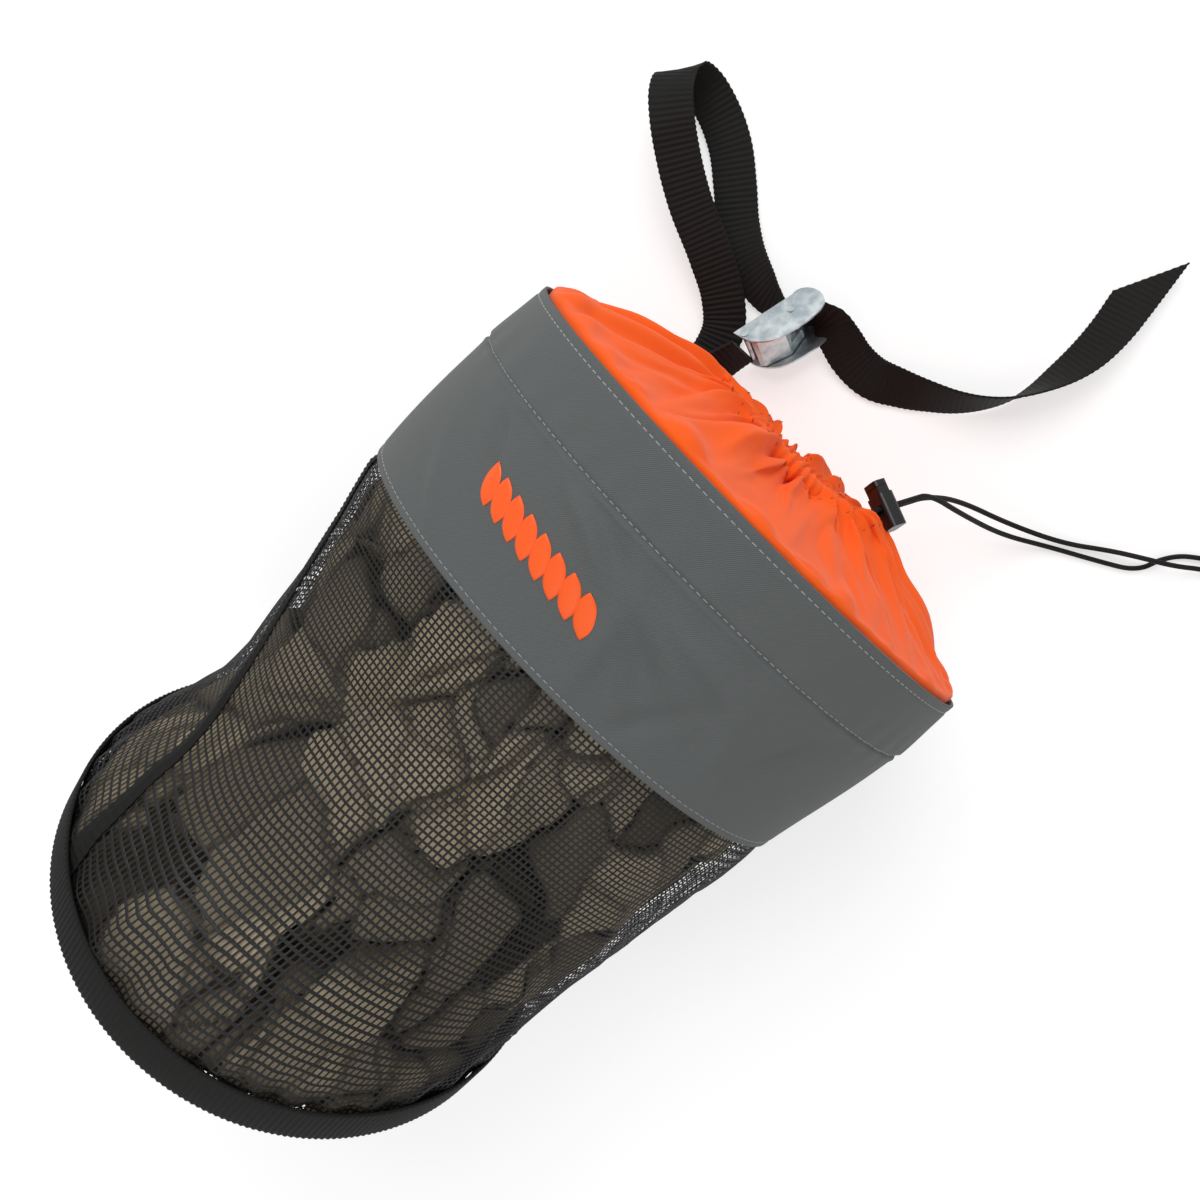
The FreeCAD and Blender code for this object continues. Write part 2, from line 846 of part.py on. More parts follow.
def cam_spring():
    """A torsion spring on the pin, between the two halves of the cam."""
    wire = 0.45
    turns = 4
    pitch = 1.6
    helix = Part.makeHelix(pitch, pitch * turns, 2.4)
    section = Part.Wire(Part.Circle(Vector(2.4, 0, 0), Vector(0, 1, 0), wire).toShape())
    coil = Part.Wire(helix).makePipeShell([section], True, True)
    spring = shaped("cam_spring", coil)
    spring.Placement = buckle_placement().multiply(
        Placement(Vector(0, 0, -pitch * turns / 2), Rotation())
    )
    return spring


# ---------------------------------------------------------------- build, test and write

def sub_parts():
    parts = [
        top_band(), mesh_side_wall(), mesh_base_panel(), base_webbing_band(), base_binding_tape(),
        side_seam_tape(), drawstring_collar(), collar_casing(), drawstring_loop(),
    ]
    parts += [cord_tube(label, route) for label, route in tail_routes().items()]
    parts += [
        tail_end_knot(), cord_lock_body(), cord_lock_plunger(), cord_lock_spring(),
        webbing_strap(), buckle_tab(), bar_tack_stitches(), buckle_frame(), cam_lever(),
        headed_pin("cam_pin", size("pin_radius"), 2.4, 0, 0),
        headed_pin("buckle_bar", size("bar_radius"), 2.8, size("bar_back"), size("bar_side")),
        cam_spring(),
    ]
    return parts


parts = sub_parts()
doc.recompute()
for thing in doc.Objects:
    if {"Invalid", "Error"} & set(thing.State):
        raise RuntimeError(f"{thing.Label} failed: {thing.State}")
os.makedirs("parts", exist_ok=True)
body_box = FreeCAD.BoundBox()
for part in parts:
    if part.Shape.isNull() or not part.Shape.isValid():
        raise RuntimeError(f"{part.Label} has no valid shape")
    part.Shape.exportStep(f"parts/{part.Label}.step")
    if not part.Label.startswith(("drawstring_tail", "tail_end")):
        body_box.add(part.Shape.optimalBoundingBox(True, False))
print("nodes", len(parts))
print("box without the free cord", body_box)
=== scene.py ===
import math

import bpy
import numpy as np
from mathutils import Matrix, Vector, noise


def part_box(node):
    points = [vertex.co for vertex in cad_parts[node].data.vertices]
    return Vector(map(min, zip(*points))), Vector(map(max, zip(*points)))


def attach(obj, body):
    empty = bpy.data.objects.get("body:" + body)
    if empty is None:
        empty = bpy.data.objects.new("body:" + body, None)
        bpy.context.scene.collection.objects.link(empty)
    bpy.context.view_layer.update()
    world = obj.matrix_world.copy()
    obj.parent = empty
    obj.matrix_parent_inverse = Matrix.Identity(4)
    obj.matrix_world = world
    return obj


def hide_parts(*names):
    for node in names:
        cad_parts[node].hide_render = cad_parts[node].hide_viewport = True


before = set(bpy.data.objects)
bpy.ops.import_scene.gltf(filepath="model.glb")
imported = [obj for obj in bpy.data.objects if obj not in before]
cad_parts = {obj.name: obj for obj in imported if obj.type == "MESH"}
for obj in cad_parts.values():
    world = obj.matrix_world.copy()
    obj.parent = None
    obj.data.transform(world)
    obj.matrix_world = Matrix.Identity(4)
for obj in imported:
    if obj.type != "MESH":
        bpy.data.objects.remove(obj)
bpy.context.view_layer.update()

MM = 0.001
RIM_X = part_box("top_band")[1].x
AXIS_Y = sum(c.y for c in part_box("collar_casing")) / 2
RIM = np.array([RIM_X, AXIS_Y, 0.0])


def at(x, y, z):
    """A place counted in millimetres from the middle of the rim, in the row frame."""
    return RIM + np.array([x, y, z]) * MM


# ---------------------------------------------------------------- camera, light and floor

def place_camera():
    tilt, roll = math.radians(13.0), math.atan2(0.697, 0.717)
    forward = Vector((-math.sin(tilt), 0, -math.cos(tilt)))
    level = Vector((math.cos(tilt), 0, -math.sin(tilt)))
    side = Vector((0, 1, 0))
    right = level * math.cos(roll) - side * math.sin(roll)
    up = level * math.sin(roll) + side * math.cos(roll)
    data = bpy.data.cameras.new("camera")
    data.lens = 36
    data.sensor_width = 36
    camera = bpy.data.objects.new("camera", data)
    bpy.context.scene.collection.objects.link(camera)
    matrix = Matrix((right, up, -forward)).transposed().to_4x4()
    matrix.translation = Vector(at(47, 16, 739))
    camera.matrix_world = matrix
    bpy.context.scene.camera = camera


def area_light(name, place, target, size, energy):
    data = bpy.data.lights.new(name, "AREA")
    data.energy = energy
    data.size = size
    light = bpy.data.objects.new(name, data)
    bpy.context.scene.collection.objects.link(light)
    light.location = place
    light.rotation_euler = (Vector(target) - Vector(place)).to_track_quat("-Z", "Y").to_euler()


def principled(name, colour, roughness, metallic=0.0, specular=0.5, sheen=0.0):
    material = bpy.data.materials.new(name)
    material.use_nodes = True
    shader = material.node_tree.nodes["Principled BSDF"]
    shader.inputs["Base Color"].default_value = (*colour, 1)
    shader.inputs["Roughness"].default_value = roughness
    shader.inputs["Metallic"].default_value = metallic
    shader.inputs["Specular IOR Level"].default_value = specular
    shader.inputs["Sheen Weight"].default_value = sheen
    return material


def set_the_stage():
    scene = bpy.context.scene
    scene.view_settings.view_transform = "Standard"
    world = bpy.data.worlds.new("studio")
    world.use_nodes = True
    background = world.node_tree.nodes["Background"]
    background.inputs["Color"].default_value = (1, 1, 1, 1)
    background.inputs["Strength"].default_value = 0.50
    scene.world = world
    area_light("key", (0.75, 0.75, 1.25), (0, 0, 0.1), 1.1, 15)
    area_light("fill", (-1.0, -0.5, 1.4), (0, 0, 0.1), 1.4, 7)
    mesh = bpy.data.meshes.new("floor")
    half, below = 4.0, -0.001
    corners = [(-half, -half, below), (half, -half, below), (half, half, below), (-half, half, below)]
    mesh.from_pydata(corners, [], [(0, 1, 2, 3)])
    floor = bpy.data.objects.new("floor", mesh)
    scene.collection.objects.link(floor)
    pale = principled("pale_floor", (0.55, 0.55, 0.55), 0.9, specular=0.0)
    shader = pale.node_tree.nodes["Principled BSDF"]
    shader.inputs["Emission Color"].default_value = (1, 1, 1, 1)
    shader.inputs["Emission Strength"].default_value = 0.55
    mesh.materials.append(pale)


# ---------------------------------------------------------------- materials

def add_bump(material, texture, scale, distance, strength=0.6, coordinates="Object", **settings):
    """A fine procedural bump on a material."""
    tree = material.node_tree
    coords = tree.nodes.new("ShaderNodeTexCoord")
    node = tree.nodes.new(texture)
    node.inputs["Scale"].default_value = scale
    for key, value in settings.items():
        if key in node.inputs:
            node.inputs[key].default_value = value
        else:
            setattr(node, key, value)
    bump = tree.nodes.new("ShaderNodeBump")
    bump.inputs["Strength"].default_value = strength
    bump.inputs["Distance"].default_value = distance
    tree.links.new(coords.outputs[coordinates], node.inputs["Vector"])
    tree.links.new(node.outputs[0], bump.inputs["Height"])
    shader = tree.nodes["Principled BSDF"]
    previous = shader.inputs["Normal"].links
    if previous:
        tree.links.new(previous[0].from_socket, bump.inputs["Normal"])
    tree.links.new(bump.outputs["Normal"], shader.inputs["Normal"])


def two_tones(material, factor, dark, light, low, high):
    """Colours a material from dark to light as a factor goes from low to high."""
    tree = material.node_tree
    ramp = tree.nodes.new("ShaderNodeValToRGB")
    for element, position, colour in zip(ramp.color_ramp.elements, (low, high), (dark, light)):
        element.position = position
        element.color = (*colour, 1)
    tree.links.new(factor, ramp.inputs["Fac"])
    tree.links.new(ramp.outputs["Color"], tree.nodes["Principled BSDF"].inputs["Base Color"])


def mottle(material, dark, light, scale):
    """Varies a material's colour between two tones."""
    tree = material.node_tree
    coords = tree.nodes.new("ShaderNodeTexCoord")
    texture = tree.nodes.new("ShaderNodeTexNoise")
    texture.inputs["Scale"].default_value = scale
    texture.inputs["Detail"].default_value = 4.0
    tree.links.new(coords.outputs["Object"], texture.inputs["Vector"])
    two_tones(material, texture.outputs["Fac"], dark, light, 0.35, 0.65)


def by_tone_and_painted_shade(material, dark, light):
    """Colours a material by its mesh's own tone attribute, which holds random tone and painted shade."""
    attribute = material.node_tree.nodes.new("ShaderNodeAttribute")
    attribute.attribute_name = "tone_and_painted_shade"
    two_tones(material, attribute.outputs["Fac"], dark, light, 0.1, 0.85)


GREY = principled("grey_cloth", (0.105, 0.112, 0.112), 0.85, specular=0.2, sheen=0.1)
add_bump(GREY, "ShaderNodeTexWave", 520, 0.0003, 0.5, "UV", bands_direction="DIAGONAL")
add_bump(GREY, "ShaderNodeTexNoise", 900, 0.0002, 0.4)
ORANGE = principled("orange_cloth", (0.86, 0.105, 0.010), 0.8, specular=0.12, sheen=0.1)
add_bump(ORANGE, "ShaderNodeTexNoise", 1100, 0.0002, 0.5)
NET = principled("black_net", (0.008, 0.008, 0.008), 0.5, specular=0.35)
WEBBING = principled("black_webbing", (0.007, 0.0065, 0.006), 0.7, specular=0.22)
add_bump(WEBBING, "ShaderNodeTexNoise", 1500, 0.0002, 0.5)
PAPER = principled("kraft_paper", (0.42, 0.36, 0.25), 0.85, specular=0.15)
# Kraft paper; the dark end of its tone ramp is painted shade in the creases and on sunk plates.
by_tone_and_painted_shade(PAPER, (0.03, 0.022, 0.014), (0.60, 0.50, 0.34))
add_bump(PAPER, "ShaderNodeTexNoise", 60, 0.002, 0.5, Detail=6.0)
THREAD = principled("grey_thread", (0.32, 0.33, 0.33), 0.7)
DARK_THREAD = principled("dark_thread", (0.25, 0.03, 0.01), 0.7)
SATIN = principled("orange_thread", (0.95, 0.11, 0.01), 0.45, specular=0.4)
BLACK_PLASTIC = principled("black_plastic", (0.012, 0.012, 0.013), 0.32)
CORD = principled("black_cord", (0.008, 0.0075, 0.0075), 0.65, specular=0.25)
add_bump(CORD, "ShaderNodeTexWave", 500, 0.0004, 0.8, bands_direction="DIAGONAL")
ZINC = principled("zinc", (0.50, 0.56, 0.58), 0.34, metallic=1.0)
mottle(ZINC, (0.36, 0.42, 0.45), (0.62, 0.67, 0.68), 160)
SPRING = principled("spring_steel", (0.45, 0.46, 0.47), 0.3, metallic=1.0)


# ---------------------------------------------------------------- helpers for making pieces

def smooth_curve(stops, values, where):
    """A smooth curve through values at increasing stops (finite-difference tangents)."""
    x, y = np.asarray(stops, float), np.asarray(values, float)
    slope = np.gradient(y, x, axis=0)
    where = np.clip(where, x[0], x[-1])
    k = np.clip(np.searchsorted(x, where, side="right") - 1, 0, len(x) - 2)
    gap = x[k + 1] - x[k]
    s = (where - x[k]) / gap
    if y.ndim > 1:
        s, gap = s[..., None], gap[..., None]
    return (
        (2 * s**3 - 3 * s**2 + 1) * y[k] + (s**3 - 2 * s**2 + s) * gap * slope[k]
        + (3 * s**2 - 2 * s**3) * y[k + 1] + (s**3 - s**2) * gap * slope[k + 1]
    )


def make(name, points, faces, material, body="bag", smooth=True, uv=None):
    """A mesh piece that rides on a CAD body."""
    mesh = bpy.data.meshes.new(name)
    if isinstance(faces, np.ndarray):
        faces = faces.tolist()
    mesh.from_pydata(np.asarray(points, float).tolist(), [], faces)
    mesh.polygons.foreach_set("use_smooth", [smooth] * len(mesh.polygons))
    mesh.materials.append(material)
    if uv is not None:
        layer = mesh.uv_layers.new(name="UVMap")
        corner = np.zeros(len(mesh.loops), int)
        mesh.loops.foreach_get("vertex_index", corner)
        layer.data.foreach_set("uv", np.asarray(uv, np.float32)[corner].ravel())
    mesh.update()
    thing = bpy.data.objects.new(name, mesh)
    bpy.context.scene.collection.objects.link(thing)
    if body:
        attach(thing, body)
    return thing


def rings(values, columns):
    """Two grids: the given values down the rows, and angles all the way round."""
    angle = np.linspace(0, 2 * math.pi, columns, endpoint=False)
    return np.meshgrid(values, angle, indexing="ij")


def grid_faces(rows, columns, wrap, start=0, flip=False):
    """Quads of a grid of rows x columns points; wrap joins the last column to the first."""
    i = np.arange(rows - 1)[:, None]
    j = np.arange(columns if wrap else columns - 1)[None, :]
    n = (j + 1) % columns
    a, b = i * columns + j, i * columns + n
    c, d = (i + 1) * columns + n, (i + 1) * columns + j
    quads = np.stack([a, b, c, d], -1).reshape(-1, 4) + start
    return quads[:, ::-1] if flip else quads


BAG_MIDDLE = RIM + np.array([-165, 7, 112]) * MM


def normals_of(grid, wrap):
    """Unit normals of a grid of points (rows x columns x 3), away from the bag's middle."""
    down = np.gradient(grid, axis=0)
    if wrap:
        across = np.roll(grid, -1, axis=1) - np.roll(grid, 1, axis=1)
    else:
        across = np.gradient(grid, axis=1)
    n = np.cross(across, down)
    n /= np.maximum(np.linalg.norm(n, axis=-1, keepdims=True), 1e-12)
    return n * outward_sign(grid, n)


def outward_sign(grid, normal):
    """1 where directions at a grid's points lead away from the bag's middle as a whole, else -1."""
    return 1.0 if ((grid - BAG_MIDDLE) * normal).sum() > 0 else -1.0


def shell(name, grid, thickness, material, wrap=True, uv=None):
    """A closed sheet of cloth: grid is its outer face, and thickness goes inwards."""
    rows, columns = grid.shape[:2]
    inner = grid - normals_of(grid, wrap) * thickness
    points = np.concatenate([grid.reshape(-1, 3), inner.reshape(-1, 3)])
    count = rows * columns
    faces = [grid_faces(rows, columns, wrap), grid_faces(rows, columns, wrap, count, flip=True)]
    for row in (0, rows - 1):
        j = np.arange(columns if wrap else columns - 1)
        n = (j + 1) % columns
        a, b = row * columns + j, row * columns + n
        edge = np.stack([a, b, count + b, count + a], -1)
        faces.append(edge[:, ::-1] if row == 0 else edge)
    if not wrap:
        for column in (0, columns - 1):
            i = np.arange(rows - 1)
            a, b = i * columns + column, (i + 1) * columns + column
            edge = np.stack([a, b, count + b, count + a], -1)
            faces.append(edge if column == 0 else edge[:, ::-1])
    both = None if uv is None else np.concatenate([uv.reshape(-1, 2)] * 2)
    made = make(name, points, np.concatenate(faces), material, uv=both)
    if points_inward(grid):
        made.data.flip_normals()
    return made


def points_inward(grid):
    """Whether a grid's quads face the bag's middle."""
    a = grid[:-1, 1:] - grid[:-1, :-1]
    b = grid[1:, :-1] - grid[:-1, :-1]
    return outward_sign(grid[:-1, :-1], np.cross(a, b)) < 0


def fold(value):
    """A triangle wave from -1 to 1."""
    return 4 * np.abs(value - np.floor(value + 0.5)) - 1


def crumple(points, seed, wavelength, strength):
    """A piecewise flat height field with sharp creases, like crushed paper."""
    random = np.random.default_rng(seed)
    moved = points.copy()
    for scale in (1.6, 0.9, 0.55):
        for _ in range(3):
            way, push = random.normal(size=(2, 3))
            way /= np.linalg.norm(way)
            push /= np.linalg.norm(push)
            length = wavelength * scale
            moved = moved + push * length * 0.16 * fold(moved @ way / length + random.random())[..., None]
    height = np.zeros(points.shape[:-1])
    for weight, scale in ((1.0, 1.5), (0.7, 1.0), (0.5, 0.7), (0.28, 0.42), (0.16, 0.26)):
        way = random.normal(size=3)
        way /= np.linalg.norm(way)
        height += weight * fold(moved @ way / (wavelength * scale) + random.random())
    return strength * height / 1.6


def soft_noise(points, scale, seed):
    """Smooth noise from -1 to 1 at each point of an array."""
    flat = points.reshape(-1, 3) * (1 / scale) + seed * 7.31
    values = [noise.noise(Vector(p)) for p in flat]
    return np.array(values).reshape(points.shape[:-1])


# ---------------------------------------------------------------- the bag's form

# depth behind the rim, half width, half height, sideways shift, middle height, lean and yaw of the section
SECTIONS = np.array([
    [-2, 145.6, 122.3, 1.1, 120.3, 0.0, 0.0],
    [36, 150, 117, 2.9, 115, 0.0, 0.0],
    [123, 148.7, 108, 8.7, 106, 0.0, 0.0],
    [205, 138.2, 109, 6, 107, 0.0, 0.0],
    [262, 132, 120, 5, 116.5, -9.5, 2.75],
    [311, 135, 135, 15, 138.2, -19.0, 5.5],
    [336, 135, 135, 12.8, 130, -19.0, 5.5],
])
BAG_END = 335.0
BAND_DEPTH = 123
BASE_LEAN, BASE_YAW = SECTIONS[-1, 5:]
BASE_SHIFT, BASE_MIDDLE = SECTIONS[-1, 3:5]


def bag(depth, angle, out=0.0, floor=0.8):
    """The bag's outer face at a depth behind the rim (mm) and an angle from its +Y side, pushed out (mm)."""
    depth, angle = np.broadcast_arrays(np.asarray(depth, float), np.asarray(angle, float))
    a, b, shift, middle, lean, yaw = np.moveaxis(smooth_curve(SECTIONS[:, 0], SECTIONS[:, 1:], depth), -1, 0)
    lean, yaw = np.radians(lean), np.radians(yaw)
    rise = (b + out) * np.sin(angle)
    aside = (a + out) * np.cos(angle)
    x = -depth + rise * np.sin(lean) * np.cos(yaw) - aside * np.sin(yaw)
    y = shift + aside * np.cos(yaw) + rise * np.sin(lean) * np.sin(yaw)
    z = middle + rise * np.cos(lean)
    return np.stack([x, y, np.maximum(z, floor - np.minimum(out, 0) * 0.6)], -1) * MM + RIM


STITCH_CORNERS = (
    (-1, -1, 0), (1, -1, 0), (1, 1, 0), (-1, 1, 0),
    (-0.8, -0.5, 1), (0.8, -0.5, 1), (0.8, 0.5, 1), (-0.8, 0.5, 1),
)
STITCH_FACES = np.array([[0, 3, 2, 1], [4, 5, 6, 7], [0, 1, 5, 4], [1, 2, 6, 5], [2, 3, 7, 6], [3, 0, 4, 7]])


def dashes(name, places, material, length=3.0, width=0.55, lift=0.25):
    """A row of stitches: little raised bars. places are (middle, along, normal) arrays in metres."""
    middle, along, normal = places
    along = along / np.linalg.norm(along, axis=-1, keepdims=True)
    side = np.cross(normal, along)
    corners = []
    for a, s, n in STITCH_CORNERS:
        flat = along * (a * length / 2 * MM) + side * (s * width / 2 * MM)
        corners.append(middle + flat + normal * ((n * 2 - 1) * lift * MM))
    points = np.stack(corners, 1).reshape(-1, 3)
    faces = (STITCH_FACES[None] + 8 * np.arange(len(middle))[:, None, None]).reshape(-1, 4)
    return make(name, points, faces, material)


def ring_stitches(name, surface, depth, material, pitch=4.2, **more):
    """Stitches round the bag at a depth, on a surface function of depth and angle."""
    t = np.linspace(0, 2 * math.pi, 1441)
    line = surface(depth, t)
    run = np.concatenate([[0], np.cumsum(np.linalg.norm(np.diff(line, axis=0), axis=1))])
    count = int(run[-1] / (pitch * MM))
    angle = np.interp((np.arange(count) + 0.5) / count * run[-1], run, t)
    middle = surface(depth, angle)
    along = surface(depth, angle + 0.004) - surface(depth, angle - 0.004)
    down = surface(depth + 0.5, angle) - surface(depth - 0.5, angle)
    normal = np.cross(down, along)
    normal /= np.linalg.norm(normal, axis=-1, keepdims=True)
    return dashes(name, (middle, along, normal), material, **more)


def wrinkles(depth, angle):
    """Soft dents and pulls in the grey band (mm)."""
    total = np.zeros(np.broadcast(depth, angle).shape)
    for d, t, along, across, turn, height in (
        (50, 72, 30, 5, 62, 2.2), (56, 84, 30, 6, 55, -2.4), (64, 92, 34, 7, 70, 2.4),
        (76, 98, 30, 7, 40, -2.2), (60, 106, 26, 6, 80, 1.8), (92, 92, 26, 6, 15, 1.8),
        (100, 48, 26, 6, 50, 1.6), (58, 50, 24, 5, 35, -1.5), (90, 122, 34, 8, 25, 1.8),
        (70, 132, 26, 6, -20, -1.6), (100, 108, 24, 6, -25, -1.4),
    ):
        u = depth - d
        v = (np.degrees(angle) - t) * 2.45
        a = u * math.cos(math.radians(turn)) + v * math.sin(math.radians(turn))
        b = v * math.cos(math.radians(turn)) - u * math.sin(math.radians(turn))
        total += 1.6 * height * np.exp(-(a / along) ** 2 - (b / across) ** 2)
    return total


RIM_STITCH, HEM_STITCH, LOWER_STITCH = 4.5, 37.4, 119.5


def band_face(depth, angle):
    """The grey band's outer face, with its hem a layer higher, soft wrinkles and stitched dips."""
    depth, angle = np.broadcast_arrays(np.asarray(depth, float), np.asarray(angle, float))
    step = 0.9 / (1 + np.exp((depth - 36.5) * 3.0))
    seam = -0.8 * np.exp(-((depth - 38.0) / 0.9) ** 2) + 0.5 * np.exp(-((depth - 40.5) / 1.6) ** 2)
    edge = -0.5 * (np.exp(-((depth - LOWER_STITCH) / 0.9) ** 2) + np.exp(-((depth - RIM_STITCH) / 0.9) ** 2))
    calm = np.clip(np.minimum(depth - 40, BAND_DEPTH - depth) / 12, 0, 1)
    fine = 0.35 * np.sin(angle * 41 + 2 * np.sin(angle * 5)) * np.exp(-((depth - 34) / 12) ** 2)
    top = np.clip(np.sin(angle) * 2, 0, 1)
    return bag(depth, angle, step + seam + edge + fine + calm * top * wrinkles(depth, angle), 0.5)


def make_band():
    depth = np.unique(np.concatenate([
        np.linspace(0, 8, 9), np.linspace(8, 33, 9), np.linspace(33, 43, 16), np.linspace(43, 115, 32),
        np.linspace(115, BAND_DEPTH, 10),
    ]))
    d, t = rings(depth, 360)
    uv = np.stack([d, t * 140], -1) * MM
    band = shell("top_band_cloth", band_face(d, t), 1.5 * MM, GREY, uv=uv)
    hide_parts("top_band")
    ring_stitches("rim_stitches", band_face, RIM_STITCH, THREAD, width=0.8)
    ring_stitches("hem_stitches", band_face, HEM_STITCH, THREAD, width=0.8)
    ring_stitches("lower_edge_stitches", band_face, LOWER_STITCH, THREAD)


def make_motif():
    """A generic rope-lay mark in raised satin stitch."""
    points, faces = [], []
    rows, columns = 44, 13
    for k in range(8):
        a, b = np.meshgrid(np.linspace(-1, 1, rows), np.linspace(-1, 1, columns), indexing="ij")
        half = 4.6 * (1 - np.abs(a) ** 2.6) + 0.15
        along = a * 11.5
        turn = math.radians(32)
        deep = along * math.cos(turn) - b * half * math.sin(turn)
        round_ = along * math.sin(turn) + b * half * math.cos(turn)
        middle = np.radians(56.5 + k * 4.3)
        satin = 0.14 * np.cos(a * 11.5 * 2 * math.pi / 1.05)
        lift = 0.25 + (1.1 + satin) * np.sqrt(np.maximum(1 - b**2, 0)) * (1 - np.abs(a) ** 8)
        depth, angle = 79 + deep + (k - 3.5) * 1.1, middle + round_ / 138
        ground = band_face(depth, angle)
        patch = ground + normals_of(ground, False) * (lift * MM)[..., None]
        faces.append(grid_faces(rows, columns, False, len(points) * rows * columns))
        points.append(patch.reshape(-1, 3))
    make("rope_lay_motif", np.concatenate(points), np.concatenate(faces), SATIN)


def make_net(name, grid, quads, node, sink=None, gap=0.64):
    """Netting as real strands round square openings, from a grid of knot places and its quads."""
    corners = grid.reshape(-1, 3)[quads]
    middle = corners.mean(axis=1, keepdims=True)
    inner = middle + (corners - middle) * gap
    if sink is not None:
        inner = inner - sink.reshape(-1, 3)[quads].mean(axis=1, keepdims=True)
    start = grid[..., 0].size + 4 * np.arange(len(quads))
    faces = [
        np.stack([quads[:, k], quads[:, (k + 1) % 4], start + (k + 1) % 4, start + k], -1) for k in range(4)
    ]
    net = make(name, np.concatenate([grid.reshape(-1, 3), inner.reshape(-1, 3)]), np.concatenate(faces), NET)
    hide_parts(node)


def wall_face(depth, angle, out=0.0):
    """The net wall's face, which follows the stuffing and puckers towards the base."""
    depth, angle = np.broadcast_arrays(np.asarray(depth, float), np.asarray(angle, float))
    tuck = 2.2 / (1 + np.exp((depth - 126) * 0.8))
    base = bag(depth, angle, out - tuck)
    calm = np.clip((depth - 128) / 30, 0, 1) * np.clip((325 - depth) / 30, 0, 1)
    waves = crumple(base, 5, 0.115, 2.6)
    pucker = 1.3 * np.sin(angle * 34 + 3 * np.sin(angle * 3)) * np.exp(-((depth - 312) / 12) ** 2)
    return bag(depth, angle, out - tuck + calm * waves + pucker - 1.0)


def make_wall():
    grid = wall_face(*rings(np.linspace(117, BAG_END, 72), 264))
    quads = grid_faces(*grid.shape[:2], True)
    make_net("side_net", grid, quads, "mesh_side_wall", normals_of(grid, True) * (0.35 * MM))


def base_point(across, up, behind=0.0):
    """A place on the base's plane (mm): across it, up its leaning height, and behind it."""
    lean, yaw = math.radians(BASE_LEAN), math.radians(BASE_YAW)
    ahead = up * math.sin(lean) - behind * math.cos(lean)
    x = -BAG_END + ahead * math.cos(yaw) - across * math.sin(yaw)
    y = BASE_SHIFT + across * math.cos(yaw) + ahead * math.sin(yaw)
    z = BASE_MIDDLE + up * math.cos(lean) + behind * math.sin(lean)
    return np.stack(np.broadcast_arrays(x, y, z), -1) * MM + RIM


def make_base():
    step = np.arange(-134.4, 134.5, 3.2)
    u, v = np.meshgrid(step, step, indexing="ij")
    radius = np.hypot(u, v)
    squeeze = np.where(radius > 131, 131 / np.maximum(radius, 1), 1)
    grid = base_point(u * squeeze, v * squeeze, 0.3 + 1.5 * np.cos(radius / 84))
    quads = grid_faces(*u.shape, False)
    inside = radius.reshape(-1)[quads].min(axis=1) < 130
    make_net("base_net", grid, quads[inside][:, ::-1], "mesh_base_panel")
    ribs = 268
    t = np.linspace(0, 2 * math.pi, ribs * 4, endpoint=False)
    rib = 0.35 * np.cos(t * ribs)
    outline = [(-0.4, 135.4), (-0.4, 136.8), (1.2, 137.1), (24.2, 137.1), (25.6, 136.8), (25.6, 135.4)]
    rows = []
    for ahead, radius in outline:
        r = radius + (rib if radius > 136 else 0)
        rows.append(base_point(r * np.cos(t), r * np.sin(t), -ahead))
    rows.append(rows[0])
    band = make("base_webbing", np.array(rows).reshape(-1, 3), grid_faces(len(rows), len(t), True), WEBBING)
    band.data.validate()
    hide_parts("base_webbing_band")


def seam_angle(depth):
    """The angle at which the side seam runs, which winds a little as it nears the base."""
    return np.radians(np.interp(depth, [113, 165, 205, 240, 262, 288, 335], [12, 18, 24, 30, 35, 41, 50]))


def make_seam():
    depth = np.linspace(119, 333, 330)
    across = np.linspace(-6, 6, 7)
    d, w = np.meshgrid(depth, across, indexing="ij")
    lift = 1.0 + 0.9 * np.exp(-(w / 2.2) ** 2) + 0.25 * np.cos(d * 2 * math.pi / 3.0)
    grid = wall_face(d, seam_angle(d) + w / 138, lift)
    tape = shell("seam_tape", grid, 0.8 * MM, WEBBING, wrap=False)
    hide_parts("side_seam_tape")


# count of plates, wander of their edges (m), tilt, drop, depth of the creases (mm) and their width (mm)
PLATES = ((46, 0.020, 0.22, 9.0, 12.0, 3.0), (150, 0.012, 0.20, 3.5, 4.0, 1.4))
PAPER_GAP = 6.5


